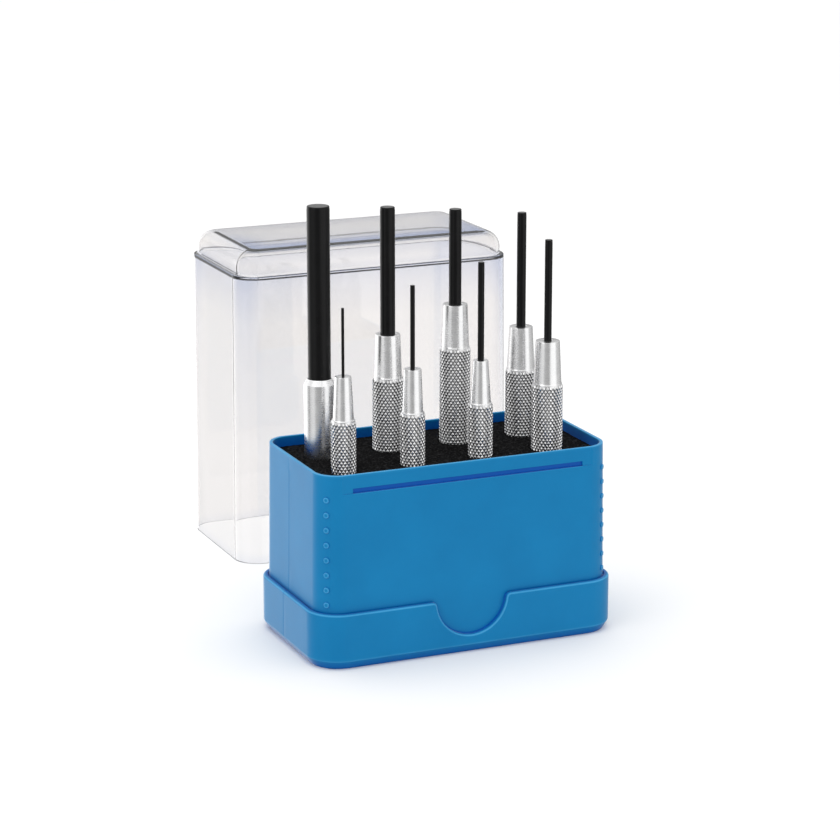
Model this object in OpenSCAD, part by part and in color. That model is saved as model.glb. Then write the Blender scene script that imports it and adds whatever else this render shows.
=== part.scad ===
// Boxed set of eight drift pin punches, each with a guide sleeve that slides along its pin.
// The punches stand in a foam insert in an open case, and the clear lid stands behind it.
// Frame: origin at the centre of the case's underside, +X along the case, +Y to its back, +Z up.
// Lengths are in millimetres.

/* [Case] */
// Length at the rim
rim_l = 106.2; // [105:0.1:112]
// Width at the rim
rim_w = 55.7; // [55:0.1:60]
// Height of the rim
case_h = 66.5; // [66:0.1:72]
// Radius of the four upright corners at the rim
corner_r = 8.7; // [8:0.1:10]
// Wall thickness
wall = 1.2; // [1:0.1:1.6]
// Floor thickness
floor_t = 2; // [1.5:0.1:2.5]
// Height of the ledge that the closed lid rests on
ledge_h = 19.3; // [18:0.1:22]
// How far the ledge stands out from the wall
ledge_w = 2.1; // [1.9:0.1:2.6]
// Radius of the thumb recess in the ledge, front and back
thumb_r = 12.9; // [10:0.1:14]
// Radius of the recess's upper corners
thumb_round = 1.5; // [1:0.1:2]
// Grip nubs up each corner
nub_count = 8; // [4:1:8]

/* [Lid] */
// Length at the open end
lid_l = 110.2; // [110:0.1:110.6]
// Width at the open end
lid_w = 59.6; // [59.5:0.1:60]
// Height of the shoulder below the dome
lid_shoulder_h = 108.5; // [108:0.1:112]
// Height of the dome's upright edge
dome_rise = 2.7; // [2:0.1:4]
// Radius of the dome's rounded edge above that
dome_round = 6; // [4:0.1:7]
// Wall thickness
lid_wall = 1.2; // [1:0.1:1.2]
// Where the lid stands while it is off
lid_at = [16.75, 119.4];

/* [Foam] */
// Depth of the foam's top below the rim
foam_drop = 3; // [2:0.1:4]
// Distance between neighbouring holes in a row
hole_pitch = 25.1; // [22:0.1:25.5]
// Distance between the two rows
row_gap = 21.2; // [20:0.1:24]
// How far the pattern of holes sits from the centre along X
hole_shift = -0.8; // [-1:0.1:1]

/* [Punches, thinnest first] */
// Pin diameter
pin_d = [1.0, 1.6, 2.2, 2.6, 3.2, 4.3, 5.1, 7.8];
// Length of pin that shows when the sleeve is drawn right back
free_pin = [23.1, 28.5, 33.7, 34.9, 40.1, 42.0, 43.8, 59.1];
// Height of the drawn-back sleeve's nose above the foam
nose_above = [32.1, 32.2, 32.8, 37.2, 37.7, 38.9, 39.7, 26.6];
// How far each sleeve has been slid forward
slid = [0, 0, 0, 0, 0, 9, 0, 0];
// Diameter of the sleeve's nose at its mouth
nose_d = [5.6, 6.0, 5.2, 8.3, 8.2, 8.6, 8.6, 8.6];
// Clearance round a sleeve in its foam hole, and round a pin or shank in its sleeve
fit = 0.1; // [0.06:0.01:0.1]

/* [Hidden] */

sliver = 0.01;      // thickness of the slices that a drafted block is hulled from
round_fn = 96;      // facets round a turned part
corner_fn = 32;     // facets round the corners of a drafted block

// Case
case_slope = 0.0136;    // draft of the case's walls, per millimetre of height
foot_h = 3.1;           // height of the chamfer round the foot
foot_inset = 1.8;
seat_groove_w = 0.5;    // groove between the ledge and the wall
seat_groove_d = 0.8;
slot_l = 84;            // slot across each long side, near the rim
slot_h = 1.6;
slot_d = 0.7;
slot_z = case_h - 6.4;
panel_l = 91.4;         // shallow panel from the slot's lower edge up to the rim
panel_d = 0.2;
nub_d = 2;
nub_proud = 0.5;
nub_top = case_h - 8.3;
nub_pitch = 5.15;
corner_x = rim_l / 2 - corner_r;
corner_y = rim_w / 2 - corner_r;

// Lid
lid_slope = 0.0081;     // draft of the lid's walls, per millimetre of height
lid_r = 9.7;            // corner radius at the open end
shoulder_w = 1.6;       // flat step between the wall and the dome
dome_corner_r = 2.6;    // smallest corner radius on the dome
dome_steps = 6;

// Foam
foam_top = case_h - foam_drop;
foam_gap = 0.1;         // gap between the foam and the case

// Punches: sizes 1 to 3 have the slim sleeve, 4 to 7 the wide one, and 8 a wide, plain one
function slim(i) = i < 3;
function plain(i) = i == 7;
function sleeve_d(i) = slim(i) ? 8.5 : 10.8;
function sleeve_l(i) = slim(i) ? 52 : 62;
function shank_d(i) = slim(i) ? 4.2 : plain(i) ? pin_d[i] : 6.6;
function head_l(i) = slim(i) ? 8 : 10;
function nose_l(i) = plain(i) ? 1.8 : 14.7;
function nose_root_d(i) = slim(i) ? 7 : plain(i) ? sleeve_d(i) : 9.6;
function ring_r(i) = slim(i) ? 0.4 : 0.6;
head_under = 0.4;       // how much narrower the head is than its sleeve
head_gap = 0.3;         // gap between the drawn-back sleeve and the head
mouth_l = 5;            // length of the narrow bore in a sleeve's nose
shank_back = 6;         // how far the shank's shoulder lies behind the sleeve's mouth
ring_back = 12;         // how far the grip ring lies behind the sleeve's mouth
ring_gap = 0.05;        // gap between the grip ring and the sleeve's bore
edge = 0.6;             // chamfer on sleeves' tails and on heads
function mouth_edge(i) = plain(i) ? 0.1 : 0.35;     // chamfers inside and outside a sleeve's mouth
tip_l = 1.2;            // length of the slightly drawn-in end of a pin
tip_in = 0.12;          // how far it is drawn in, as a share of the pin's radius

// Place of a punch: sizes 1 to 4 stand in the front row, and 8 to 5 in the back one
function column(i) = i < 4 ? i : 7 - i;
function punch_x(i) = hole_shift + (column(i) - 1.5) * hole_pitch;
function punch_y(i) = (i < 4 ? -1 : 1) * row_gap / 2;
function mouth_z(i) = foam_top + nose_above[i];     // mouth of the drawn-back sleeve
function tip_z(i) = mouth_z(i) + free_pin[i];
function head_z(i) = mouth_z(i) - sleeve_l(i) - head_gap - head_l(i);

module rounded_rect(l, w, r) {
    for (x = [-1, 1], y = [-1, 1])
        translate([x * (l / 2 - r), y * (w / 2 - r)]) circle(r);
    square([l - 2 * r, w], center = true);
    square([l, w - 2 * r], center = true);
}

module slice(z, l, w, r) {
    translate([0, 0, z]) linear_extrude(sliver) rounded_rect(l, w, r, $fn = corner_fn);
}

// A rounded block from z0 to z1 that measures l by w at z1 and widens downwards
module drafted_block(l, w, r, z0, z1, slope) {
    grow = slope * (z1 - z0);
    hull() {
        slice(z0, l + 2 * grow, w + 2 * grow, r + grow);
        slice(z1 - sliver, l, w, r);
    }
}

module case_block(inset, z0, z1) {
    rise = case_slope * (case_h - z1);
    drafted_block(rim_l + 2 * (rise - inset), rim_w + 2 * (rise - inset), corner_r + rise - inset,
        z0, z1, case_slope);
}

// The half round that is cut through the ledge, with its upper corners rounded off
module thumb_recess(w) {
    translate([0, w / 2, ledge_h]) rotate([90, 0, 0]) linear_extrude(w) {
        circle(thumb_r, $fn = round_fn);
        for (x = [-1, 1]) scale([x, 1]) difference() {
            translate([thumb_r - 0.2, -thumb_round]) square(thumb_round + 0.2);
            translate([thumb_r + thumb_round, -thumb_round]) circle(thumb_round, $fn = round_fn);
        }
    }
}

module ledge() {
    grow = case_slope * (case_h - ledge_h);
    l = rim_l + 2 * (grow + ledge_w);
    w = rim_w + 2 * (grow + ledge_w);
    r = corner_r + grow + ledge_w;
    groove = 2 * (grow + seat_groove_w);
    difference() {
        hull() {
            slice(0, l - 2 * foot_inset, w - 2 * foot_inset, r - foot_inset);
            slice(foot_h, l, w, r);
            slice(ledge_h - sliver, l, w, r);
        }
        thumb_recess(w + 2);
        translate([0, 0, ledge_h - seat_groove_d]) linear_extrude(seat_groove_d + 1)
            rounded_rect(rim_l + groove, rim_w + groove, corner_r + groove / 2, $fn = round_fn);
    }
}

module corner_nubs() {
    for (x = [-1, 1], y = [-1, 1], k = [0 : nub_count - 1]) {
        z = nub_top - k * nub_pitch;
        root = corner_r + case_slope * (case_h - z) - nub_proud;
        translate([x * corner_x, y * corner_y, z]) rotate([0, 0, atan2(y, x)])
            translate([root, 0, 0]) rotate([0, 90, 0])
                cylinder(d1 = nub_d + 0.4, d2 = nub_d - 0.4, h = 2 * nub_proud, $fn = 24);
    }
}

module side_slots() {
    half_w = rim_w / 2 + case_slope * (case_h - slot_z);
    for (y = [-1, 1]) {
        translate([-slot_l / 2, y * half_w - slot_d, slot_z]) cube([slot_l, 2 * slot_d, slot_h]);
        translate([-panel_l / 2, y * half_w - panel_d, slot_z])
            cube([panel_l, 2 * panel_d, case_h - slot_z + 1]);
    }
}

module case_base() {
    color("#1a7cb8") difference() {
        union() {
            ledge();
            case_block(0, 0, case_h);
            corner_nubs();
        }
        case_block(wall, floor_t, case_h + 1);
        side_slots();
    }
}

module foam_insert() {
    inset = 2 * (wall + foam_gap);
    color("#1c1c1e") translate([0, 0, floor_t]) linear_extrude(foam_top - floor_t) difference() {
        rounded_rect(rim_l - inset, rim_w - inset, corner_r - inset / 2, $fn = round_fn);
        for (i = [0 : 7])
            translate([punch_x(i), punch_y(i)])
                circle(d = sleeve_d(i) + 2 * fit, $fn = round_fn);
    }
}

// The lid's outer form, or with an inset the space inside it
module lid_form(inset, below) {
    narrow = 2 * lid_slope * lid_shoulder_h;
    l = lid_l - narrow - 2 * inset;
    w = lid_w - narrow - 2 * inset;
    r = lid_r - narrow / 2 - inset;
    drafted_block(l, w, r, -below, lid_shoulder_h - inset, lid_slope);
    hull() {
        slice(lid_shoulder_h - inset - sliver, l - 2 * shoulder_w, w - 2 * shoulder_w, r - shoulder_w);
        for (k = [0 : dome_steps]) {
            a = 90 * k / dome_steps;
            in = shoulder_w + dome_round * (1 - cos(a));
            slice(lid_shoulder_h - inset + dome_rise - sliver + dome_round * sin(a),
                l - 2 * in, w - 2 * in, max(r - in, dome_corner_r));
        }
    }
}

module lid() {
    color("#d8e4ee", 0.35) translate([lid_at.x, lid_at.y, 0]) difference() {
        lid_form(0, 0);
        lid_form(lid_wall, 1);
    }
}

// One turned piece: striking head, shank with the ring's groove, and pin
module drift(i) {
    head_r = (sleeve_d(i) - head_under) / 2;
    shank_r = shank_d(i) / 2;
    pin_r = pin_d[i] / 2;
    bottom = head_z(i);
    shoulder = mouth_z(i) - shank_back;
    ring_z = mouth_z(i) - ring_back;
    groove_r = ring_inner_r(i) - 0.02;
    groove_h = ring_r(i) + 0.05;
    neck = plain(i) ? [] : [[shank_r, shoulder - shank_r + pin_r], [pin_r, shoulder]];
    outline = concat(
        [[0, bottom], [head_r - edge, bottom], [head_r, bottom + edge],
         [head_r, bottom + head_l(i)], [shank_r, bottom + head_l(i)],
         [shank_r, ring_z - groove_h], [groove_r, ring_z - groove_h],
         [groove_r, ring_z + groove_h], [shank_r, ring_z + groove_h]],
        neck,
        [[pin_r, tip_z(i) - tip_l], [pin_r * (1 - tip_in), tip_z(i)], [0, tip_z(i)]]);
    color("#202022") translate([punch_x(i), punch_y(i), 0])
        rotate_extrude($fn = round_fn) polygon(outline);
}

function bore_r(i) = shank_d(i) / 2 + 0.06;
function ring_inner_r(i) = bore_r(i) - ring_gap - 2 * ring_r(i);

// The sleeve: body, drawn-in nose, wide bore for the shank and narrow bore for the pin
module guide_sleeve(i) {
    out_r = sleeve_d(i) / 2;
    mouth_r = pin_d[i] / 2 + 0.06;
    tail = -sleeve_l(i);
    step = plain(i) ? [] : [[mouth_r, -mouth_l], [bore_r(i), -mouth_l]];
    shoulder = plain(i) ? [] : [[out_r, -nose_l(i) - 0.5]];
    outline = concat(
        [[mouth_r + mouth_edge(i), 0], [mouth_r, -mouth_edge(i)]],
        step,
        [[bore_r(i), tail + 0.3], [bore_r(i) + 0.3, tail], [out_r - edge, tail], [out_r, tail + edge]],
        shoulder,
        [[nose_root_d(i) / 2, -nose_l(i)], [nose_d[i] / 2, -mouth_edge(i)],
         [nose_d[i] / 2 - mouth_edge(i), 0]]);
    color("#d3d5d8") translate([punch_x(i), punch_y(i), mouth_z(i) + slid[i]])
        rotate_extrude($fn = round_fn) polygon(outline);
}

// The rubber ring on the shank, which makes the sleeve stay where it is put
module grip_ring(i) {
    color("#3a3a3a") translate([punch_x(i), punch_y(i), mouth_z(i) - ring_back])
        rotate_extrude($fn = round_fn)
            translate([ring_inner_r(i) + ring_r(i), 0]) circle(ring_r(i), $fn = 32);
}

case_base();
foam_insert();
lid();
drift(0);  // drift_1
drift(1);  // drift_2
drift(2);  // drift_3
drift(3);  // drift_4
drift(4);  // drift_5
drift(5);  // drift_6
drift(6);  // drift_7
drift(7);  // drift_8
guide_sleeve(0);  // guide_sleeve_1
guide_sleeve(1);  // guide_sleeve_2
guide_sleeve(2);  // guide_sleeve_3
guide_sleeve(3);  // guide_sleeve_4
guide_sleeve(4);  // guide_sleeve_5
guide_sleeve(5);  // guide_sleeve_6
guide_sleeve(6);  // guide_sleeve_7
guide_sleeve(7);  // guide_sleeve_8
grip_ring(0);  // grip_ring_1
grip_ring(1);  // grip_ring_2
grip_ring(2);  // grip_ring_3
grip_ring(3);  // grip_ring_4
grip_ring(4);  // grip_ring_5
grip_ring(5);  // grip_ring_6
grip_ring(6);  // grip_ring_7
grip_ring(7);  // grip_ring_8
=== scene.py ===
"""Looks of the boxed set of pin punches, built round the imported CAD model.

Lengths in the tables and functions below are in millimetres, in the row frame, and become metres in
build(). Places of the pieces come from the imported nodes' boxes.
"""

import math

import bmesh
import bpy
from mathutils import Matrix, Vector, noise
from mathutils.geometry import delaunay_2d_cdt


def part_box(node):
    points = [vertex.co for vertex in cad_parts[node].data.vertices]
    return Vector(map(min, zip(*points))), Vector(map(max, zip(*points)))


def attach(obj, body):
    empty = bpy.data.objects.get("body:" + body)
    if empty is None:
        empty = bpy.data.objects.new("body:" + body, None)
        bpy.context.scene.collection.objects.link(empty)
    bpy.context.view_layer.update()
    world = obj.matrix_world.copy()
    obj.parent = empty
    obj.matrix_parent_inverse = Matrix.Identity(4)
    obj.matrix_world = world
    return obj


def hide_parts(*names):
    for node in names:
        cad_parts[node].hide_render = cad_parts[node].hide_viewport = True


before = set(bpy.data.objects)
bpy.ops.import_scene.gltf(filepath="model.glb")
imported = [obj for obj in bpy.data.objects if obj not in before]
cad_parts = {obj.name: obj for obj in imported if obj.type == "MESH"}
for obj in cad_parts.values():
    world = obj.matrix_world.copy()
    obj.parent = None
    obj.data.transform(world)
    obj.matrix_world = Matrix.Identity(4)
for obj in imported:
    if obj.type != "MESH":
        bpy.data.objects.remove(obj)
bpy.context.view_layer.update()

MM = 0.001
FILLET = [math.radians(15 * k) for k in range(7)]  # a quarter round in six steps
MERGE_DIST, TINY_EDGE = 1e-7, 1e-8  # in metres: points this close are one, edges this short go


def node_box(node):
    """A CAD node's lowest and highest corner in millimetres."""
    low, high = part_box(node)
    return low / MM, high / MM


# ---------------------------------------------------------------- mesh tools


class Loft:
    """Rings of points joined by quads. Rings all have the same number of points. Each point has a
    shade, which the material reads: one number for a ring, or one for each of its points."""

    def __init__(self):
        self.verts, self.shades, self.faces, self.last = [], [], [], None

    def add(self, points, shade=0.0):
        start = len(self.verts)
        self.verts.extend(points)
        self.shades.extend(shade if isinstance(shade, list) else [shade] * len(points))
        return list(range(start, start + len(points)))

    def ring(self, points, shade=0.0):
        new = self.add(points, shade)
        if self.last:
            self.join(self.last, new)
        self.last = new
        return new

    def join(self, a, b):
        n = len(a)
        for i in range(n):
            j = (i + 1) % n
            self.faces.append((a[i], a[j], b[j], b[i]))

    def cap(self):
        self.faces.append(tuple(self.last))


def build(name, shape, material, body, replaced=(), sharp=32):
    """The shape as an object that rides on a body. Flat faces stay flat and rounds are smooth, with
    a sharp edge where two faces meet at more than sharp degrees."""
    mesh = bpy.data.meshes.new(name)
    mesh.from_pydata([Vector(v) * MM for v in shape.verts], [], shape.faces)
    work = bmesh.new()
    work.from_mesh(mesh)
    layer = work.verts.layers.float.new("shade")
    for vert, value in zip(work.verts, shape.shades):
        vert[layer] = value
    bmesh.ops.remove_doubles(work, verts=work.verts, dist=MERGE_DIST)
    bmesh.ops.dissolve_degenerate(work, edges=work.edges, dist=TINY_EDGE)
    bmesh.ops.recalc_face_normals(work, faces=work.faces)
    work.to_mesh(mesh)
    work.free()
    mesh.shade_smooth()
    mesh.set_sharp_from_angle(angle=math.radians(sharp))
    mesh.materials.append(material)
    obj = bpy.data.objects.new(name, mesh)
    bpy.context.scene.collection.objects.link(obj)
    weighted = obj.modifiers.new("Normals", "WEIGHTED_NORMAL")
    weighted.keep_sharp = True
    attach(obj, body)
    if replaced:
        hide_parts(*replaced)
    return obj


# ---------------------------------------------------------------- materials


class Nodes:
    """A short way to write a material's nodes."""

    def __init__(self, tree):
        self.tree = tree

    def add(self, kind, **values):
        node = self.tree.nodes.new(kind)
        for key, value in values.items():
            setattr(node, key, value)
        return node

    def link(self, source, target):
        self.tree.links.new(source, target)

    def set(self, node, **values):
        for key, value in values.items():
            node.inputs[key.replace("_", " ")].default_value = value

    def noise(self, vector, scale, detail=3.0, roughness=0.55):
        node = self.add("ShaderNodeTexNoise")
        self.set(node, Scale=scale, Detail=detail, Roughness=roughness)
        self.link(vector, node.inputs["Vector"])
        return node.outputs["Fac"]

    def scaled(self, vector, scale):
        node = self.add("ShaderNodeMapping")
        self.set(node, Scale=scale)
        self.link(vector, node.inputs["Vector"])
        return node.outputs["Vector"]

    def ramp(self, value, stops, interpolation="LINEAR"):
        node = self.add("ShaderNodeValToRGB")
        node.color_ramp.interpolation = interpolation
        elements = node.color_ramp.elements
        while len(elements) < len(stops):
            elements.new(0.5)
        for element, (place, colour) in zip(elements, stops):
            element.position = place
            element.color = (*colour, 1)
        self.link(value, node.inputs["Fac"])
        return node.outputs["Color"]

    def remap(self, value, low, high, start=0.0, end=1.0):
        """Low to high as the value goes from start to end, and no further."""
        node = self.add("ShaderNodeMapRange")
        self.set(node, From_Min=start, From_Max=end, To_Min=low, To_Max=high)
        self.link(value, node.inputs["Value"])
        return node.outputs["Result"]

    def math(self, kind, a, b):
        node = self.add("ShaderNodeMath", operation=kind)
        for socket, value in zip(node.inputs, (a, b)):
            if isinstance(value, (int, float)):
                socket.default_value = value
            else:
                self.link(value, socket)
        return node.outputs["Value"]

    def shade(self, low, high):
        """The mesh's shade, from 0 at low to 1 at high."""
        stored = self.add("ShaderNodeAttribute", attribute_name="shade").outputs["Fac"]
        return self.remap(stored, 0.0, 1.0, low, high)

    def mix(self, share, a, b, kind="RGBA"):
        """From a to b by the share. Each is a socket, a number or a colour."""
        node = self.add("ShaderNodeMix", data_type=kind)
        for name, value in (("Factor", share), ("A", a), ("B", b)):
            if isinstance(value, bpy.types.NodeSocket):
                self.link(value, node.inputs[name])
            else:
                node.inputs[name].default_value = (*value, 1) if isinstance(value, tuple) else value
        return node.outputs["Result"]

    def bump(self, height, strength, distance, normal=None):
        node = self.add("ShaderNodeBump")
        self.set(node, Strength=strength, Distance=distance)
        self.link(height, node.inputs["Height"])
        if normal:
            self.link(normal, node.inputs["Normal"])
        return node.outputs["Normal"]


def material(name, **sockets):
    """A material with a Principled shader, and its Nodes, shader and object coordinates."""
    made = bpy.data.materials.new(name)
    made.use_nodes = True
    nodes = Nodes(made.node_tree)
    shader = made.node_tree.nodes["Principled BSDF"]
    nodes.set(shader, **sockets)
    place = nodes.add("ShaderNodeTexCoord").outputs["Object"]
    return made, nodes, shader, place


SHADE_BLUE = (0.0, 0.092, 0.43)  # painted shade in the case's corners, grooves, slot and inside
HIGHLIGHT_BLUE = (0.07, 0.38, 0.68)  # painted highlight along the case's edges
LID_EDGE_SHADE = (0.33, 0.42, 0.68)  # painted shade along the lid's edges
# painted shade in the knurl's valleys
KNURL_VALLEY_SHADE = (0.11, 0.11, 0.11)
PALE_TIP = (0.11, 0.11, 0.11)
NOOK_REACH = 0.004  # how far off a surface the painted shade still darkens a corner, in metres


def case_plastic():
    made, nodes, shader, place = material(
        "CasePlastic", IOR=1.5, Specular_IOR_Level=0.15, Sheen_Weight=0.3, Sheen_Roughness=0.3
    )
    cloud = nodes.noise(place, 60, 4)
    speck = nodes.noise(place, 3000, 2)
    blue = nodes.ramp(cloud, [(0.3, (0.0015, 0.180, 0.415)), (0.7, (0.0025, 0.200, 0.450))])
    # painted shade: corners, grooves and what the mesh's shade marks are painted a deeper blue
    nook = nodes.add("ShaderNodeAmbientOcclusion", samples=6)
    nodes.set(nook, Distance=NOOK_REACH)
    corner_shade = nodes.remap(nook.outputs["AO"], 0.8, 0.0, 0.25, 0.85)
    shade_share = nodes.math("MAXIMUM", corner_shade, nodes.shade(0.0, 1.0))
    colour = nodes.mix(shade_share, blue, SHADE_BLUE)
    # painted highlight: the edges are painted a paler blue, patchy with the cloud
    highlight = nodes.math("MULTIPLY", nodes.shade(0.0, -1.0), nodes.remap(cloud, 0.7, 1.0, 0.3, 0.7))
    colour = nodes.mix(highlight, colour, HIGHLIGHT_BLUE)
    nodes.link(colour, shader.inputs["Base Color"])
    nodes.link(nodes.remap(speck, 0.34, 0.46), shader.inputs["Roughness"])
    fine = nodes.bump(speck, 0.2, 0.00002)
    wave = nodes.bump(nodes.noise(place, 45, 1), 0.15, 0.0004, fine)
    nodes.link(wave, shader.inputs["Normal"])
    return made


def clear_plastic():
    made, nodes, shader, place = material(
        "ClearPlastic", IOR=1.49, Transmission_Weight=1.0, Roughness=0.015
    )
    tint = nodes.noise(place, 18, 2)
    clear = nodes.ramp(tint, [(0.3, (0.900, 0.884, 0.878)), (0.7, (0.914, 0.900, 0.894))])
    # painted shade: its edges are painted blue-grey, where refraction would show them dark
    colour = nodes.mix(nodes.shade(0.0, 1.0), clear, LID_EDGE_SHADE)
    nodes.link(colour, shader.inputs["Base Color"])
    nodes.link(nodes.remap(nodes.noise(place, 90, 4), 0.0, 0.04, 0.45, 0.8), shader.inputs["Roughness"])
    nodes.link(nodes.bump(nodes.noise(place, 25, 2), 0.1, 0.0006), shader.inputs["Normal"])
    return made


def foam_material():
    made, nodes, shader, place = material("BlackFoam", Roughness=0.95, Specular_IOR_Level=0.05)
    pores = nodes.add("ShaderNodeTexVoronoi", feature="F1")
    nodes.set(pores, Scale=1300.0)
    nodes.link(place, pores.inputs["Vector"])
    grain = nodes.noise(place, 2200, 4, 0.7)
    both = nodes.math("MULTIPLY", pores.outputs["Distance"], grain)
    colour = nodes.ramp(both, [(0.1, (0.0008, 0.0008, 0.001)), (0.3, (0.006, 0.006, 0.0065)),
                               (0.5, (0.03, 0.03, 0.031))])
    nodes.link(colour, shader.inputs["Base Color"])
    nodes.link(nodes.bump(both, 0.9, 0.0005), shader.inputs["Normal"])
    return made


def bright_steel():
    made, nodes, shader, place = material("BrightSteel", Metallic=1.0)
    lathe = nodes.noise(nodes.scaled(place, (60, 60, 9000)), 1.0, 1, 0.5)
    cloud = nodes.noise(place, 350, 3)
    colour = nodes.ramp(cloud, [(0.25, (0.80, 0.80, 0.81)), (0.75, (0.92, 0.92, 0.92))])
    # painted shade in the valleys of the knurl
    colour = nodes.mix(nodes.shade(0.5, 1.0), colour, KNURL_VALLEY_SHADE)
    nodes.link(colour, shader.inputs["Base Color"])
    worn = nodes.math("ADD", lathe, cloud)
    nodes.link(nodes.remap(worn, 0.2, 0.32, 0.6, 1.4), shader.inputs["Roughness"])
    nodes.link(nodes.bump(lathe, 0.06, 0.00001), shader.inputs["Normal"])
    return made


def black_steel():
    made, nodes, shader, place = material("BlackOxideSteel", IOR=1.45, Specular_IOR_Level=0.24)
    streak = nodes.noise(nodes.scaled(place, (2500, 2500, 60)), 1.0, 3, 0.6)
    cloud = nodes.noise(place, 220, 3)
    black = nodes.ramp(cloud, [(0.3, (0.0015, 0.0015, 0.0018)), (0.75, (0.004, 0.004, 0.0045))])
    # the tip's end face is paler
    nodes.link(nodes.mix(nodes.shade(0.0, 1.0), black, PALE_TIP), shader.inputs["Base Color"])
    nodes.link(nodes.remap(streak, 0.22, 0.4, 0.25, 0.75), shader.inputs["Roughness"])
    nodes.link(nodes.bump(streak, 0.2, 0.00001), shader.inputs["Normal"])
    return made


def ring_rubber():
    made, nodes, shader, place = material("RingRubber", IOR=1.5)
    bloom = nodes.noise(place, 900, 4)
    black = nodes.ramp(bloom, [(0.3, (0.010, 0.010, 0.010)), (0.75, (0.03, 0.03, 0.03))])
    nodes.link(black, shader.inputs["Base Color"])
    nodes.link(nodes.remap(bloom, 0.45, 0.7), shader.inputs["Roughness"])
    nodes.link(nodes.bump(bloom, 0.3, 0.00002), shader.inputs["Normal"])
    return made


# ---------------------------------------------------------------- case

CORE = (44.4, 19.15)  # the rectangle that the case's corner rounds are centred on
CASE_H = node_box("case_base")[1].z
CASE_SLOPE = 0.0136
RIM_R = 8.7
LEDGE_H = 19.3
LEDGE_R = RIM_R + CASE_SLOPE * (CASE_H - LEDGE_H) + 2.1
FOOT_H, FOOT_IN = 3.1, 1.8
THUMB_R, THUMB_ROUND, LEDGE_ROUND = 12.9, 1.5, 0.9
GROOVE_W, GROOVE_D = 0.5, 0.8
WALL, FLOOR_T = 1.2, 2.0
SLOT = (42.0, 1.6, 0.7)  # half length, height, depth
SLOT_LIP = 0.1
PANEL_D = 0.2  # the shallow panel round the slot, as wide as the long side
PANEL_FADE = {4: 0.9, 8.5: 0.5}  # its share of depth at the first bends of a corner, in degrees
SLOT_Z = CASE_H - 6.4
SEAM_Y, SEAM_D = 2.0, 0.12  # the parting line's place on each short side, and its depth
SEAM = [(-0.16, 0.0), (-0.05, 1.0), (0.05, 1.0), (0.16, 0.0)]  # the share of its depth across it
RIM_ROUND = 0.3
# how strong the painted highlight is on each step of an edge's round, from outside in. Below 0 it is painted
# shade
LEDGE_HIGHLIGHT = (0.0, 0.2, 0.7, 0.8, 0.4, 0.0, -0.4)
RIM_OUT_HIGHLIGHT = (0.1, 0.3, 0.6, 0.9, 0.9, 0.8, 0.5)
RIM_IN_HIGHLIGHT = (0.5, 0.8, 0.9, 0.7, 0.4, 0.1, -0.2)
# painted shade in the parting line, the groove, its foot and high on the inside wall
SEAM_SHADE, GROOVE_SHADE, GROOVE_FOOT_SHADE, WALL_SHADE = 0.6, 0.7, 0.8, 0.75
NUBS, NUB_DROP, NUB_PITCH = 8, 8.3, 5.15  # up each corner: how many, the first below the rim, and apart


def wall_r(z):
    """The case wall's distance from the core rectangle at height z."""
    return RIM_R + CASE_SLOPE * (CASE_H - z)


def thumb_path():
    """(place along the side, height, direction into the recess) down the left half of the recess."""
    points = []
    # over the rounded corner of the ledge, and then down the recess's arc
    for k in range(6):
        a = math.radians(90 - 16 * k)
        points.append(
            (-THUMB_R - THUMB_ROUND + THUMB_ROUND * math.cos(a),
             LEDGE_H - THUMB_ROUND + THUMB_ROUND * math.sin(a), math.cos(a), math.sin(a))
        )
    first = math.degrees(math.asin(THUMB_ROUND / THUMB_R))
    steps = 20
    for k in range(steps + 1):
        a = math.radians(first + (90 - first) * k / steps)
        points.append((-THUMB_R * math.cos(a), LEDGE_H - THUMB_R * math.sin(a), math.cos(a), math.sin(a)))
    return points


def case_columns():
    """Round the case from the front left: core point, outward direction, ledge height, direction of
    the ledge's face along the side and up, the slot's and panel's shares of depth, and how far the
    parting line moves the wall."""
    half = thumb_path()
    recess = half + [(-s, z, -ms, mz) for s, z, ms, mz in reversed(half[:-1])]
    flat = [-CORE[0], -43.3, -42.15, -SLOT[0], -39, -35, -31, -27, -23, -19, -16.5]
    front = [(s, LEDGE_H, 0.0, 1.0) for s in flat] + recess
    front += [(-s, LEDGE_H, 0.0, 1.0) for s in reversed(flat)]
    bends = [4, 8.5, 9.5, 14, 19, 24.5, 30, 36, 42, 48, 54, 60, 66, 72, 78, 84]
    ends = [-CORE[1], -15, -10, -5, -1] + [SEAM_Y + s for s, _ in SEAM] + [5, 8, 12, 16, CORE[1]]
    seams = {round(SEAM_Y + s, 3): share for s, share in SEAM}
    columns = []
    for side in range(4):
        turn = math.radians(90 * side)
        out = (round(math.sin(turn)), -round(math.cos(turn)))
        along = (-out[1], out[0])
        long_side = side % 2 == 0
        reach, across = CORE if long_side else CORE[::-1]
        places = front if long_side else [(s, LEDGE_H, 0.0, 1.0) for s in sorted(along[1] * e for e in ends)]
        for s, z, ms, mz in places:
            core = (along[0] * s + out[0] * across, along[1] * s + out[1] * across)
            columns.append(
                {"core": core, "out": out, "along": along, "z": z, "ms": ms, "mz": mz,
                 "slot": 1.0 if long_side and abs(s) <= SLOT[0] else 0.0,
                 "panel": 1.0 if long_side else 0.0,
                 "seam": 0.0 if long_side else -SEAM_D * seams.get(round(along[1] * s, 3), 0.0)}
            )
        corner = (along[0] * reach + out[0] * across, along[1] * reach + out[1] * across)
        for bend in bends if long_side else [90 - b for b in reversed(bends)]:
            a = math.radians(bend)
            way = tuple(out[k] * math.cos(a) + along[k] * math.sin(a) for k in (0, 1))
            from_long = bend if long_side else 90 - bend
            columns.append(
                {"core": corner, "out": way, "along": along, "z": LEDGE_H, "ms": 0.0, "mz": 1.0,
                 "slot": 0.0, "panel": PANEL_FADE.get(from_long, 0.0), "seam": 0.0}
            )
    return columns


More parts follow.
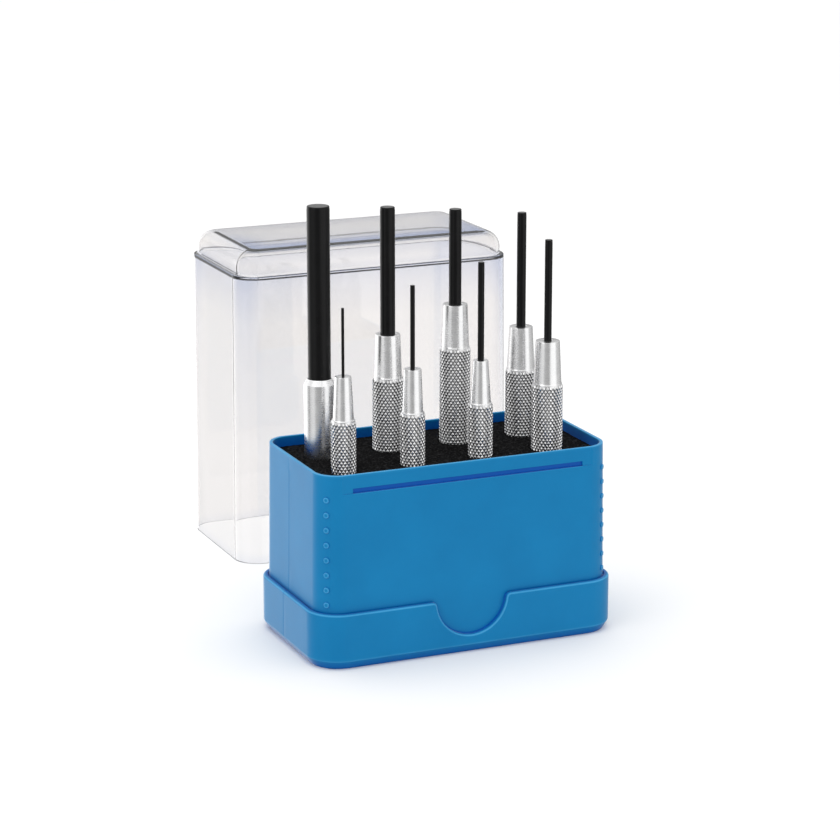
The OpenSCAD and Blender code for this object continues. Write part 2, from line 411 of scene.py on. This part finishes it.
def case_shape():
    columns = case_columns()
    shape = Loft()

    def ring(place, shade=0.0):
        """place gives a column's distance out, height, and shift along the side. Shade is 1 for painted
        shade, -1 for a painted highlight, or a function of the column."""
        points = []
        for c in columns:
            r, z, shift = place(c)
            points.append(
                (c["core"][0] + c["out"][0] * r + c["along"][0] * shift,
                 c["core"][1] + c["out"][1] * r + c["along"][1] * shift, z)
            )
        return shape.ring(points, [shade(c) for c in columns] if callable(shade) else shade)

    def in_seam(c):
        return SEAM_SHADE if c["seam"] else 0.0

    def level(r, z, seam=0.0, shade=0.0):
        ring(lambda c: (r + seam * c["seam"], z, -LEDGE_ROUND * c["ms"]), shade)

    foot = LEDGE_R - FOOT_IN
    level(foot - 0.35, 0)
    shape.cap()
    # the underside's edge, the flare up to the skirt, and the skirt's lower edge with a painted highlight
    for r, z, seam, shade in (
        (foot - 0.12, 0.05, 0, 0.0), (foot + 0.08, 0.24, 0, 0.0),
        (LEDGE_R - 0.2, FOOT_H - 0.34, 0, 0.0), (LEDGE_R - 0.06, FOOT_H - 0.08, 0, -0.5),
        (LEDGE_R, FOOT_H + 0.2, 0, -0.2), (LEDGE_R, FOOT_H + 0.5, 1, in_seam),
    ):
        level(r, z, seam, shade)
    # the ledge's rounded edge with a painted highlight, the groove behind it with painted shade, and the wall
    for k, (a, highlight) in enumerate(zip(FILLET, LEDGE_HIGHLIGHT)):
        rise = LEDGE_ROUND * (1 - math.sin(a))
        ring(lambda c: (LEDGE_R + c["seam"] - LEDGE_ROUND * (1 - math.cos(a)),
                        c["z"] + c["seam"] - c["mz"] * rise, -c["ms"] * rise),
             lambda c: in_seam(c) if k < 2 else -highlight)
    groove = wall_r(LEDGE_H) + GROOVE_W
    base = LEDGE_H - GROOVE_D
    ring(lambda c: (groove + 0.12, c["z"] + c["seam"], 0), GROOVE_SHADE)
    ring(lambda c: (groove, min(c["z"], LEDGE_H - 0.12), 0), GROOVE_SHADE)
    ring(lambda c: (groove - 0.02, min(c["z"], base), 0), 1.0)
    ring(lambda c: (wall_r(c["z"]) + 0.02, min(c["z"], base), 0), 1.0)
    ring(lambda c: (wall_r(c["z"]), min(c["z"], base) + 0.1, 0), GROOVE_FOOT_SHADE)
    ring(lambda c: (wall_r(c["z"]), min(c["z"], base) + 0.9, 0))
    ring(lambda c: (wall_r(LEDGE_H) + c["seam"], LEDGE_H + 0.3, 0), in_seam)
    for share in (0.25, 0.5, 0.75):
        z = LEDGE_H + share * (SLOT_Z - LEDGE_H)
        ring(lambda c: (wall_r(z) + c["seam"], z, 0), in_seam)
    # the slot's lower lip with a painted highlight, the slot with painted shade, and the panel above it
    top = SLOT_Z + SLOT[1]
    ring(lambda c: (wall_r(SLOT_Z) + c["seam"], SLOT_Z - 3 * SLOT_LIP, 0), in_seam)
    ring(lambda c: (wall_r(SLOT_Z) + c["seam"], SLOT_Z - SLOT_LIP, 0),
         lambda c: in_seam(c) - 0.4 * c["slot"])
    ring(lambda c: (wall_r(SLOT_Z) - SLOT_LIP * c["panel"] * 0.6 + c["seam"], SLOT_Z, 0),
         lambda c: in_seam(c) + c["slot"])

    def cut(c):
        return max(SLOT[2] * c["slot"], PANEL_D * c["panel"])

    def in_slot(c):
        return max(c["slot"], in_seam(c))

    ring(lambda c: (wall_r(SLOT_Z) - cut(c) + c["seam"], SLOT_Z, 0), in_slot)
    ring(lambda c: (wall_r(top) - cut(c) + c["seam"], top, 0), in_slot)
    ring(lambda c: (wall_r(top) - PANEL_D * c["panel"] + c["seam"] - 0.04 * c["slot"], top, 0), in_slot)
    ring(lambda c: (wall_r(top) - PANEL_D * c["panel"] + c["seam"], top + 0.1, 0), in_seam)
    ring(lambda c: (wall_r(CASE_H - 1) - PANEL_D * c["panel"], CASE_H - 1, 0))
    # the rim with painted highlights, and down the inside with painted shade
    for a, highlight in zip(FILLET, RIM_OUT_HIGHLIGHT):
        ring(lambda c: (RIM_R - PANEL_D * c["panel"] - RIM_ROUND * (1 - math.cos(a)),
                        CASE_H - RIM_ROUND * (1 - math.sin(a)), 0), -highlight)
    inner = RIM_R - WALL
    for a, highlight in zip(reversed(FILLET), RIM_IN_HIGHLIGHT):
        ring(lambda c: (inner + RIM_ROUND * (1 - math.cos(a)),
                        CASE_H - RIM_ROUND * (1 - math.sin(a)), 0), -highlight)
    ring(lambda c: (inner, CASE_H - 1.1, 0), WALL_SHADE)
    for z in (CASE_H - 4, CASE_H / 2, FLOOR_T):
        ring(lambda c: (wall_r(z) - WALL, z, 0), 1.0)
    shape.cap()
    add_nubs(shape)
    return shape


def add_nubs(shape):
    """The grip nubs up each corner, as short rounded pegs rooted in the wall."""
    # distance out of the wall, radius, and shade: painted shade at the root, a painted highlight round the
    # top
    profile = [(-0.5, 1.1, 0.5), (0.05, 1.0, 0.5), (0.12, 0.97, 0.1), (0.34, 0.93, -0.5)]
    profile += [(0.34 + 0.16 * math.sin(a), 0.77 + 0.16 * math.cos(a), -0.8) for a in FILLET[1:]]
    profile += [(0.49, 0.5, -0.2), (0.47, 0.25, 0.0)]
    steps = 24
    for x in (-1, 1):
        for y in (-1, 1):
            way, side = Vector((x, y, 0)).normalized(), Vector((-y, x, 0)).normalized()
            for k in range(NUBS):
                z = CASE_H - NUB_DROP - NUB_PITCH * k
                root = Vector((x * CORE[0], y * CORE[1], z)) + way * wall_r(z)
                shape.last = None
                for depth, r, shade in profile:
                    shape.ring(
                        [root + way * depth + side * r * math.cos(2 * math.pi * i / steps)
                         + Vector((0, 0, r * math.sin(2 * math.pi * i / steps))) for i in range(steps)], shade
                    )
                    if depth == profile[0][0]:
                        shape.cap()
                shape.cap()


# ---------------------------------------------------------------- lid

LID_SLOPE = 0.0081
LID_R = 9.7
LID_WALL = 1.2
SHOULDER_H, SHOULDER_W = 108.5, 1.6
DOME_ROUND, DOME_CORNER = 6.0, 2.6
CREASE_R = 0.9  # the round where the dome meets the shoulder
SHOULDER_ROUND, LIP_ROUND = 0.45, 0.3
INNER_ROUND, INNER_CREASE = 0.4, 0.6  # inside the shoulder, and inside the crease
LEAST_CORNER = 1.2
FLAT_TOP = ((13, 0.0), (9, 0.3), (5, 0.75), (1.5, 0.95))  # distance in from its edge, and painted shade
# painted shade on the shoulder, the crease, the lip, inside, and up the corners of the wall
SHOULDER_SHADE = (0.6, 0.9, 1.0, 1.0, 0.9, 0.6, 0.3)
CREASE_SHADE, LIP_SHADE, INNER_SHADE, INNER_CREASE_SHADE = 0.12, 0.12, 0.4, 0.1
LID_WALL_SHADE = ((SHOULDER_H - 1.2, 0.45), (90, 0.3), (72, 0.16), (54, 0.08), (36, 0.04), (18, 0.02), (4, 0))


def rounded_ring(centre, half_x, half_y, r, z, bend_steps=14, side_steps=8):
    """A level rectangle with rounded corners, from the front left round to the right."""
    points = []
    for side in range(4):
        turn = math.radians(90 * side)
        out = (round(math.sin(turn)), -round(math.cos(turn)))
        along = (-out[1], out[0])
        reach, across = (half_x, half_y) if side % 2 == 0 else (half_y, half_x)
        for k in range(side_steps + 1):
            s = (reach - r) * (2 * k / side_steps - 1)
            points.append(
                (centre.x + along[0] * s + out[0] * across, centre.y + along[1] * s + out[1] * across, z)
            )
        for k in range(1, bend_steps):
            a = math.radians(90 * k / bend_steps)
            s, t = reach - r + r * math.sin(a), across - r + r * math.cos(a)
            points.append((centre.x + along[0] * s + out[0] * t, centre.y + along[1] * s + out[1] * t, z))
    return points


def lid_shape():
    low, high = node_box("lid")
    centre, half = (low + high) / 2, (high - low) / 2
    top = high.z
    shape = Loft()

    def ring(inset, z, r_less=None, tint=0.0):
        """A ring set in from the tapering wall. Its corners' radius shrinks by r_less, or by inset."""
        taper = LID_SLOPE * min(z, SHOULDER_H)
        less = inset if r_less is None else r_less
        points = rounded_ring(centre, half.x - taper - inset, half.y - taper - inset,
                              LID_R - taper - less, z)
        shape.ring(points, [tint(Vector(p)) for p in points] if callable(tint) else tint)

    outer_r = LID_R - LID_SLOPE * SHOULDER_H

    def dome(wall, top_down, tints):
        """The dome's rounded edge, on its outside or one wall further in."""
        r = DOME_ROUND - wall
        for a, tint in zip(reversed(FILLET) if top_down else FILLET, tints):
            across = SHOULDER_W + wall + r * (1 - math.cos(a))
            share = (1 - math.cos(a)) * r / DOME_ROUND
            corner = (outer_r - SHOULDER_W) * (1 - share) + DOME_CORNER * share - wall
            ring(across, top - DOME_ROUND + r * math.sin(a), outer_r - max(corner, LEAST_CORNER), tint)

    def along_front(strength):
        """A painted shade that is strongest along the front edge and weakest at the back."""
        def tint(p):
            share = min(max((centre.y + half.y * 0.35 - p.y) / (half.y * 0.9), 0), 1)
            return strength * (0.25 + 0.75 * share)
        return tint

    def in_corner(strength):
        """A painted shade in the upright corners, fading out on the flat sides."""
        def tint(p):
            x = abs(p.x - centre.x) - (half.x - LID_R)
            y = abs(p.y - centre.y) - (half.y - LID_R)
            return strength * max(min(x, y, LID_R * 0.5), 0) / (LID_R * 0.5)
        return tint

    # the dome's flat top, from its middle out
    flat = SHOULDER_W + DOME_ROUND
    for inward, tint in FLAT_TOP:
        corner = max(DOME_CORNER - inward * 0.1, LEAST_CORNER)
        ring(flat + inward, top, outer_r - corner, along_front(tint))
        if inward == FLAT_TOP[0][0]:
            shape.cap()
    dome(0, True, (along_front(0.7), along_front(0.4), 0.05, 0.0, 0.0, 0.0, 0.0))

    def turn(a, inset, z, r_in, r_down, tint):
        """One step of a round: its centre is r_in further in than inset and r_down below z."""
        ring(inset + r_in * (1 - math.cos(a)), z - r_down * (1 - math.sin(a)), None, tint)

    # the crease, the shoulder, the wall, and the open lip
    for a in FILLET:
        turn(a, SHOULDER_W, SHOULDER_H, -CREASE_R, -CREASE_R, CREASE_SHADE)
    for a, tint in zip(reversed(FILLET), SHOULDER_SHADE):
        turn(a, 0, SHOULDER_H, SHOULDER_ROUND, SHOULDER_ROUND, tint)
    for z, tint in LID_WALL_SHADE:
        ring(0, z, None, in_corner(tint))
    for a in FILLET:
        turn(a, 0, 0, LIP_ROUND, -LIP_ROUND, LIP_SHADE)
    # the inside, from the lip up
    for a in reversed(FILLET):
        turn(a, LID_WALL, 0, -LIP_ROUND, -LIP_ROUND, LIP_SHADE)
    for z, _ in reversed(LID_WALL_SHADE[1:]):
        ring(LID_WALL, z)
    inner = SHOULDER_H - LID_WALL
    for a in FILLET:
        turn(a, LID_WALL, inner, INNER_ROUND, INNER_ROUND, INNER_SHADE)
    for a in reversed(FILLET):
        turn(a, LID_WALL + SHOULDER_W, inner, -INNER_CREASE, -INNER_CREASE, INNER_CREASE_SHADE)
    dome(LID_WALL, False, (0.0, 0.0, 0.0, 0.0, 0.1, along_front(0.3), along_front(0.4)))
    shape.cap()
    return shape


# ---------------------------------------------------------------- punches

PIN_D = [1.0, 1.6, 2.2, 2.6, 3.2, 4.3, 5.1, 7.8]
NOSE_D = [5.6, 6.0, 5.2, 8.3, 8.2, 8.6, 8.6, 8.6]
SLIM, PLAIN = (0, 1, 2), 7  # the slim punches, and the one whose sleeve shows no knurl
BORE_GAP = 0.06
BORE_STEP = 5  # how far below the mouth the bore narrows to the pin
NOSE_L = 14.7
NECK_DROP = 1.6  # how far below the foam's top the plain sleeve's knurl starts
CREST = 0.24  # a knurl pyramid's flat top, as a share of its base
TURNED_STEPS = 64


def shank_radius(i):
    if i in SLIM:
        return 2.1
    return PIN_D[i] / 2 if i == PLAIN else 3.3


def circle(centre, r, z, steps):
    turns = [2 * math.pi * i / steps for i in range(steps)]
    return [(centre.x + r * math.cos(a), centre.y + r * math.sin(a), z) for a in turns]


def knurl(shape, centre, root_r, crest_r, z_top, z_low, teeth):
    """A diamond knurl of flat-topped pyramids between two heights. Returns its top and lowest ring."""
    rows = max(2, 2 * round((z_top - z_low) / 2))
    step = (z_top - z_low) / rows
    half = math.pi / teeth
    lattice = {}
    for j in range(rows + 1):
        for i in range(2 * teeth):
            if (i + j) % 2 == 0:
                a = i * half
                point = (centre.x + root_r * math.cos(a), centre.y + root_r * math.sin(a), z_top - j * step)
                # the valley points take the painted shade, all but the top row
                lattice[i, j] = shape.add([point], 0.0 if j == 0 else 1.0)[0]

    def at(i, j):
        return lattice[i % (2 * teeth), j]

    for j in range(rows + 1):
        for i in range(2 * teeth):
            if (i + j) % 2 == 0:
                continue
            if j in (0, rows):
                inward = 1 if j == 0 else -1
                shape.faces.append((at(i - 1, j), at(i + 1, j), at(i, j + inward)))
                continue
            corners = [at(i - 1, j), at(i, j - 1), at(i + 1, j), at(i, j + 1)]
            a, z = i * half, z_top - j * step
            tops = []
            for da, dz in ((-1, 0), (0, 1), (1, 0), (0, -1)):
                b, up = a + da * half * CREST, z + dz * step * CREST
                tops += shape.add([(centre.x + crest_r * math.cos(b), centre.y + crest_r * math.sin(b), up)])
            for k in range(4):
                m = (k + 1) % 4
                shape.faces.append((corners[k], corners[m], tops[m], tops[k]))
            shape.faces.append(tuple(tops))
    first = [at(i, 0) for i in range(0, 2 * teeth, 2)]
    last = [at(i, rows) for i in range(rows % 2, 2 * teeth, 2)]
    return first, last


def fan(shape, coarse, fine):
    """Joins a ring of n points to one of 4n."""
    n = len(coarse)
    for i in range(n):
        arc = [fine[(4 * i + k) % (4 * n)] for k in range(5)]
        shape.faces.append((coarse[(i + 1) % n], coarse[i], *arc))


def sleeve_shape(i):
    low, high = node_box(f"guide_sleeve_{i + 1}")
    centre = (low + high) / 2
    mouth, tail = high.z, low.z
    out_r = (high.x - low.x) / 2
    slim, plain = i in SLIM, i == PLAIN
    teeth = 19 if slim else 25
    count = 4 * teeth
    mouth_r, bore_r = PIN_D[i] / 2 + BORE_GAP, shank_radius(i) + BORE_GAP
    nose_r = NOSE_D[i] / 2
    lip = 0.1 if plain else 0.35
    depth = 0.3 if slim else 0.36
    shape = Loft()

    def ring(r, z):
        return shape.ring(circle(centre, r, z, count))

    def chain(points):
        for r, z in points:
            ring(r, z)

    # the bore, from its tail up to the mouth
    chain([(bore_r + 0.3, tail), (bore_r, tail + 0.3)])
    bore_start = list(range(count))
    if not plain:
        chain([(bore_r, mouth - BORE_STEP), (mouth_r, mouth - BORE_STEP)])
    chain([(mouth_r, mouth - lip), (mouth_r + lip * 0.3, mouth - lip * 0.35), (mouth_r + lip, mouth)])
    # the nose
    if plain:
        neck = foam_top - NECK_DROP
        root = out_r - 0.02
        chain([(nose_r - lip, mouth), (nose_r - 0.02, mouth - 0.06), (nose_r + 0.1, mouth - 0.25),
               (out_r - 0.25, mouth - 1.55), (out_r - 0.06, mouth - 1.8), (root, mouth - 2.1),
               (root, (mouth + neck) / 2), (root, neck + 0.3), (out_r - depth, neck)])
        knurl_top = neck - 0.1
    else:
        foot_r, foot = 3.5 if slim else 4.8, mouth - NOSE_L
        chain([(nose_r - lip, mouth), (nose_r - 0.1, mouth - 0.07), (nose_r, mouth - lip)])
        steps = 6
        for k in range(1, steps + 1):
            ring(nose_r + (foot_r - nose_r) * k / steps, mouth - lip - (NOSE_L - lip - 0.4) * k / steps)
        chain([(foot_r + 0.08, foot - 0.02), (out_r - depth - 0.06, foot - 0.16),
               (out_r - depth, foot - 0.3)])
        knurl_top = foot - 0.42
    upper = shape.last
    first, last = knurl(shape, centre, out_r - depth, out_r - 0.01, knurl_top, tail + 0.9, teeth)
    fan(shape, first, upper)
    # the tail
    shape.last = None
    lower = ring(out_r - depth, tail + 0.75)
    fan(shape, last, lower)
    chain([(out_r - depth - 0.05, tail + 0.5), (out_r - 0.75, tail + 0.06), (out_r - 0.9, tail)])
    shape.join(shape.last, bore_start)
    return shape


def drift_shape(i):
    low, high = node_box(f"drift_{i + 1}")
    centre = (low + high) / 2
    slim, plain = i in SLIM, i == PLAIN
    pin_r, shank_r = PIN_D[i] / 2, shank_radius(i)
    head_r = (high.x - low.x) / 2
    head_l = 8 if slim else 10
    sleeve_l = 52 if slim else 62
    ring_r = 0.4 if slim else 0.6
    mouth = low.z + head_l + 0.3 + sleeve_l
    ring_z = mouth - 12
    groove_r, groove_h = shank_r + BORE_GAP - 0.05 - 2 * ring_r - 0.02, ring_r + 0.05
    shape = Loft()

    def chain(points, shade=0.0):
        for r, z in points:
            shape.ring(circle(centre, r, z, TURNED_STEPS), shade)

    # the head, the shank with its ring's groove, the pin, and its ground tip
    bottom, top = low.z, high.z
    chain([(head_r - 1.0, bottom)])
    shape.cap()
    chain([(head_r - 0.7, bottom + 0.05), (head_r - 0.12, bottom + 0.5), (head_r - 0.02, bottom + 0.7),
           (head_r, bottom + 0.9), (head_r, bottom + head_l - 0.25), (head_r - 0.07, bottom + head_l - 0.07),
           (head_r - 0.25, bottom + head_l), (shank_r, bottom + head_l)])
    chain([(shank_r, ring_z - groove_h), (groove_r, ring_z - groove_h),
           (groove_r, ring_z + groove_h), (shank_r, ring_z + groove_h)])
    if not plain:
        shoulder = mouth - 6
        chain([(shank_r, shoulder - shank_r + pin_r), (pin_r, shoulder)])
    soft = min(0.12 * pin_r, 0.35)
    chain([(pin_r, mouth), (pin_r, top - 1.2), (pin_r - soft * 0.25, top - 0.5 * soft - 0.35)])
    chain([(pin_r - soft * 0.25 - soft * 0.75 * (1 - math.cos(a)) * 1.3,
            top - soft * (1 - math.sin(a))) for a in FILLET[1:]])
    chain([(pin_r - 2 * soft, top), (pin_r - 2.2 * soft, top)], 1.0)
    shape.cap()
    return shape


# ---------------------------------------------------------------- foam

foam_low, foam_high = node_box("foam_insert")
foam_top = foam_high.z
FOAM_CORNER = 7.4
HOLE_GAP = 0.1
PORE_PITCH, PORE_JITTER, JITTER_SCALE = 0.72, 0.3, 0.83
RIM_CLEAR, HOLE_CLEAR = 0.4, 0.35  # no inner point lies nearer to the outline or to a hole
TOP_SINK = 0.32  # how far the top's mean lies below the block's height
SWELL, PORE, FINE_PORE, PORE_LIMIT = 0.16, 0.22, 0.16, 0.1
RIM_PORE = 0.35  # the share of the pores' depth that is left at a rim
HOLE_DIP, HOLE_DIP_W = 0.42, 1.1  # how far the top dips at a hole, and over what distance
EDGE_DIP, EDGE_DIP_W = 0.2, 0.8


def foam_shape():
    shape = Loft()
    centre, half = (foam_low + foam_high) / 2, (foam_high - foam_low) / 2
    holes = []
    for i in range(len(PIN_D)):
        low, high = node_box(f"guide_sleeve_{i + 1}")
        holes.append(((low + high) / 2, (high.x - low.x) / 2 + HOLE_GAP))

    def edge_distance(x, y):
        """How far a point lies inside the block's outline."""
        dx = abs(x - centre.x) - (half.x - FOAM_CORNER)
        dy = abs(y - centre.y) - (half.y - FOAM_CORNER)
        outside = math.hypot(max(dx, 0), max(dy, 0)) + min(max(dx, dy), 0)
        return FOAM_CORNER - outside

    def hole_distance(x, y):
        return min(math.hypot(x - c.x, y - c.y) - r for c, r in holes)

    outline = rounded_ring(centre, half.x, half.y, FOAM_CORNER, 0, 12, 60)
    loops = [[Vector(p[:2]) for p in outline]]
    loops += [[Vector(p[:2]) for p in circle(c, r, 0, 56)] for c, r in holes]
    points, edges = [], []
    for loop in loops:
        start = len(points)
        points += loop
        edges += [(start + k, start + (k + 1) % len(loop)) for k in range(len(loop))]
    ring_count = len(points)
    for a in range(int(2 * half.x / PORE_PITCH) + 1):
        for b in range(int(2 * half.y / PORE_PITCH) + 1):
            x, y = foam_low.x + a * PORE_PITCH, foam_low.y + b * PORE_PITCH
            x += PORE_JITTER * noise.noise(Vector((a * JITTER_SCALE, b * JITTER_SCALE, 1.7)))
            y += PORE_JITTER * noise.noise(Vector((a * JITTER_SCALE, b * JITTER_SCALE, 9.1)))
            if edge_distance(x, y) > RIM_CLEAR and hole_distance(x, y) > HOLE_CLEAR:
                points.append(Vector((x, y)))

    def keep(p):
        return edge_distance(*p) > 0 and hole_distance(*p) > 0

    def surface(points, edges, height, flip):
        """Triangles between the outline and the holes, at height(x, y)."""
        verts, _, faces, *_ = delaunay_2d_cdt(points, edges, [], 0, 1e-6)
        index = shape.add([(v.x, v.y, height(v.x, v.y)) for v in verts])
        for face in faces:
            middle = sum((verts[k] for k in face), Vector((0, 0))) / 3
            if keep(middle):
                order = reversed(face) if flip else face
                shape.faces.append(tuple(index[k] for k in order))
        return index

    def top_height(x, y):
        to_edge, to_hole = edge_distance(x, y), hole_distance(x, y)
        swell = SWELL * noise.noise(Vector((x * 0.09, y * 0.09, 3)))
        pores = PORE * noise.noise(Vector((x * 0.9, y * 0.9, 5)))
        pores += FINE_PORE * noise.noise(Vector((x * 2.1, y * 2.1, 8)))
        pores = min(pores, PORE_LIMIT) * min(1, min(to_edge, to_hole) + RIM_PORE)
        dip = HOLE_DIP * math.exp(-max(to_hole, 0) / HOLE_DIP_W)
        dip += EDGE_DIP * math.exp(-max(to_edge, 0) / EDGE_DIP_W)
        return foam_top - TOP_SINK + swell + pores - dip

    top = surface(points, edges, top_height, False)
    low = surface(points[:ring_count], edges, lambda x, y: foam_low.z, True)
    start = 0
    for loop in loops:
        n = len(loop)
        ring_top = [top[start + k] for k in range(n)]
        ring_low = [low[start + k] for k in range(n)]
        shape.join(ring_low, ring_top)
        start += n
    return shape


# ---------------------------------------------------------------- pieces

plastic, clear, foam_black = case_plastic(), clear_plastic(), foam_material()
bright, black, rubber = bright_steel(), black_steel(), ring_rubber()

build("CaseBase", case_shape(), plastic, "box", ["case_base"])
foam = build("FoamBlock", foam_shape(), foam_black, "box", ["foam_insert"], sharp=70)
cover = build("ClearLid", lid_shape(), clear, "lid", ["lid"])
# the lid is so clear that it casts no shadow, and soft light passes through it
cover.visible_shadow = cover.visible_diffuse = False
for i in range(len(PIN_D)):
    n = i + 1
    build(f"PinPunch{n}", drift_shape(i), black, f"punch_{n}", [f"drift_{n}"])
    build(f"GuideSleeve{n}", sleeve_shape(i), bright, f"sleeve_{n}",
          [f"guide_sleeve_{n}"], sharp=25)
    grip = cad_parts[f"grip_ring_{n}"]
    grip.data.materials.clear()
    grip.data.materials.append(rubber)

# ---------------------------------------------------------------- stage, light and camera


def floor():
    """A pale table with a rounded front edge."""
    shape = Loft()
    front, back, side, drop, r = -330, 4000, 3000, 60, 12
    rows = [(front, -drop), (front, -r)]
    rows += [(front + r * (1 - math.cos(a)), -r * (1 - math.sin(a))) for a in FILLET[1:]] + [(back, 0)]
    index = [shape.add([(x, y, z) for x in (-side, side)]) for y, z in rows]
    for a, b in zip(index, index[1:]):
        shape.faces.append((a[0], a[1], b[1], b[0]))
    mesh = bpy.data.meshes.new("Table")
    mesh.from_pydata([Vector(v) * MM for v in shape.verts], [], shape.faces)
    mesh.shade_smooth()
    made, nodes, shader, place = material("PaleTable", Roughness=0.7, Specular_IOR_Level=0.2)
    pale = nodes.ramp(nodes.noise(place, 6, 3), [(0.3, (0.90, 0.90, 0.90)), (0.7, (0.93, 0.93, 0.93))])
    nodes.link(pale, shader.inputs["Base Color"])
    mesh.materials.append(made)
    obj = bpy.data.objects.new("Table", mesh)
    bpy.context.scene.collection.objects.link(obj)
    # shiny surfaces see the studio's soft boxes instead of the table
    obj.visible_glossy = False


def area_light(name, place, target, size, power):
    light = bpy.data.lights.new(name, "AREA")
    light.shape, light.size, light.size_y, light.energy = "RECTANGLE", size[0], size[1], power
    obj = bpy.data.objects.new(name, light)
    bpy.context.scene.collection.objects.link(obj)
    obj.location = place
    obj.rotation_mode = "QUATERNION"
    obj.rotation_quaternion = (Vector(target) - Vector(place)).to_track_quat("-Z", "Y")


# What shiny surfaces see round the studio, by compass direction in degrees from the front towards
# the right: soft boxes with darker gaps between them
SURROUNDINGS = [
    (-180, 2.4), (-165, 2.4), (-162.5, 0.75), (-158, 0.75), (-155.5, 2.2), (-140, 1.7), (-126, 1.1),
    (-117, 0.8), (-110, 0.35), (-100, 0.35), (-94, 0.75), (-60, 0.85), (-50, 0.45), (-8, 0.36),
    (2, 1.15), (50, 1.20), (60, 0.60), (84, 0.62), (94, 0.50), (120, 0.42), (150, 0.35), (167, 0.4),
    (173, 2.2), (180, 2.4),
]
CEILING = 1.15  # what shiny surfaces see straight overhead


def studio():
    """A world that is white to the camera and toned for reflections, clear plastic and soft light."""
    world = bpy.data.worlds.new("Studio")
    bpy.context.scene.world = world
    world.use_nodes = True
    nodes = Nodes(world.node_tree)
    background = world.node_tree.nodes["Background"]
    way = nodes.add("ShaderNodeTexCoord").outputs["Generated"]
    split = nodes.add("ShaderNodeSeparateXYZ")
    nodes.link(way, split.inputs["Vector"])
    x, y, z = (split.outputs[k] for k in "XYZ")
    compass = nodes.math("ARCTAN2", x, nodes.math("MULTIPLY", y, -1.0))
    turn = nodes.remap(compass, 0.0, 1.0, -math.pi, math.pi)
    stops = [((a + 180) / 360, (v,) * 3) for a, v in SURROUNDINGS]
    bands = nodes.ramp(turn, stops, "EASE")
    # the brightest boxes stand low, under the horizon
    bands = nodes.math("MINIMUM", bands, nodes.remap(z, 4.0, 1.2, -0.15, 0.05))
    # the ceiling takes over higher up
    overhead = nodes.remap(z, 0.05, 1.0, 0.2, 0.75)
    shiny = nodes.mix(overhead, bands, CEILING, "FLOAT")
    # less light comes back from below
    shiny = nodes.math("MULTIPLY", shiny, nodes.remap(z, 0.06, 1.0, -0.75, -0.3))
    # clear plastic looks darker where it bends the view upwards, and soft light comes from above
    through = nodes.remap(z, 1.0, 0.4, 0.15, 0.6)
    soft = nodes.remap(z, 0.62, 1.25, -0.2, 0.9)
    path = nodes.add("ShaderNodeLightPath").outputs
    tone = nodes.mix(path["Is Glossy Ray"], soft, shiny, "FLOAT")
    tone = nodes.mix(path["Is Transmission Ray"], tone, through, "FLOAT")
    tone = nodes.mix(path["Is Camera Ray"], tone, 1.0, "FLOAT")
    nodes.link(tone, background.inputs["Strength"])
    background.inputs["Color"].default_value = (1, 1, 1, 1)
    area_light("KeyTop", (-0.2, 0.1, 1.1), (0, 0.05, 0), (1.0, 0.8), 1.6)
    area_light("FillLeft", (-1.0, -0.4, 0.5), (0, 0, 0.07), (0.5, 0.8), 0.8)


CAMERA_PLACE = (-385.453, -868.791, 325.736)
CAMERA_TURN, CAMERA_RISE = math.radians(-23.593), math.radians(14.839)
SENSOR_MM = 36
PICTURE_PX, FOCAL_PX = 840, 2880.2


def camera():
    turn, rise = CAMERA_TURN, CAMERA_RISE
    back = Vector((math.sin(turn) * math.cos(rise), -math.cos(turn) * math.cos(rise), math.sin(rise)))
    data = bpy.data.cameras.new("Camera")
    data.sensor_width = SENSOR_MM
    data.lens = SENSOR_MM * FOCAL_PX / PICTURE_PX
    data.clip_start, data.clip_end = 0.01, 20
    obj = bpy.data.objects.new("Camera", data)
    bpy.context.scene.collection.objects.link(obj)
    obj.location = Vector(CAMERA_PLACE) * MM
    obj.rotation_mode = "QUATERNION"
    obj.rotation_quaternion = (-back).to_track_quat("-Z", "Y")
    bpy.context.scene.camera = obj


floor()
studio()
camera()
view = bpy.context.scene.view_settings
view.view_transform, view.look, view.exposure, view.gamma = "Standard", "None", 0, 1
